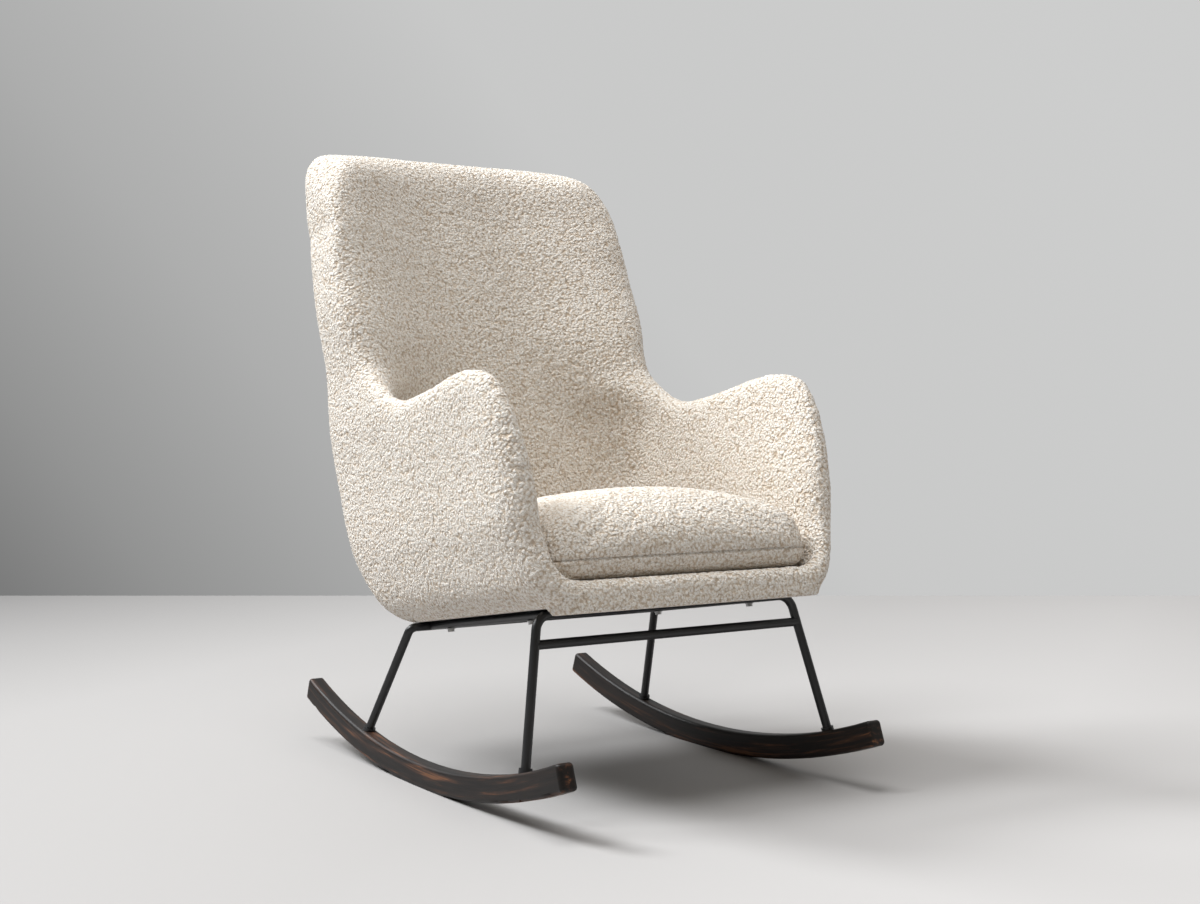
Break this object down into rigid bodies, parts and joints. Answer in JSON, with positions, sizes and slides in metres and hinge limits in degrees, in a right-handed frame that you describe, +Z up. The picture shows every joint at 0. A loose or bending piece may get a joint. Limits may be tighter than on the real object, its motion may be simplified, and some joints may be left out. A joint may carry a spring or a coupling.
{
  "type": "upholstered rocking chair",
  "caption": "High-backed upholstered bucket chair with rolled arms and a loose seat cushion, on a bent tube base with curved wooden rockers.",
  "frame": {"origin": "centre of the footprint at floor level, where the rockers touch the floor", "axes": "+Z up; -Y is the front, the way the sitter faces; +X is the sitter's left"},
  "size_m": [0.6406, 0.9464, 1.0552],
  "materials": {
    "rocker_wood": "satin lacquer, dark with brown streaks",
    "black_tube": "satin black powder coat",
    "steel": "zinc plated",
    "frame_wood": "planed hardwood",
    "plywood": "sanded plywood",
    "webbing": "woven elastic strap",
    "foam": "open foam",
    "boucle": "cream looped yarn",
    "lining": "plain weave cloth",
    "dust_cloth": "thin black non-woven cloth",
    "zip": "nylon coil zip"
  },
  "bodies": {
    "chair": {"arm_cleats": "frame_wood", "arm_cover_left": "boucle", "arm_cover_right": "boucle", "arm_foam_left": "foam", "arm_foam_right": "foam", "arm_panel_left": "plywood", "arm_panel_right": "plywood", "back_cover": "boucle", "back_foam": "foam", "back_lower_rail": "frame_wood", "back_middle_rail": "frame_wood", "back_post_left": "frame_wood", "back_post_right": "frame_wood", "back_top_rail": "frame_wood", "back_webbing": "webbing", "corner_blocks": "frame_wood", "deck_cover": "lining", "deck_pad": "foam", "dust_cover": "dust_cloth", "front_hoop": "black_tube", "front_rail_cover": "boucle", "front_rail_foam": "foam", "front_stretcher": "black_tube", "leg_collars": "black_tube", "leg_plugs": "steel", "rear_hoop": "black_tube", "rocker_bolts": "steel", "rocker_left": "rocker_wood", "rocker_right": "rocker_wood", "seat_rail_front": "frame_wood", "seat_rail_left": "frame_wood", "seat_rail_rear": "frame_wood", "seat_rail_right": "frame_wood", "seat_webbing": "webbing", "shell_bolts": "steel", "shell_inserts": "steel", "shell_washers": "steel", "side_rail_left": "black_tube", "side_rail_right": "black_tube"},
    "cushion": {"cushion_core": "foam", "cushion_cover": "boucle", "cushion_zip": "zip"}
  },
  "joints": [
    {"name": "cushion_lift", "type": "slide", "parent": "chair", "child": "cushion", "axis": [0, 0.1547, 0.988], "range_m": [0, 0.32]}
  ]
}
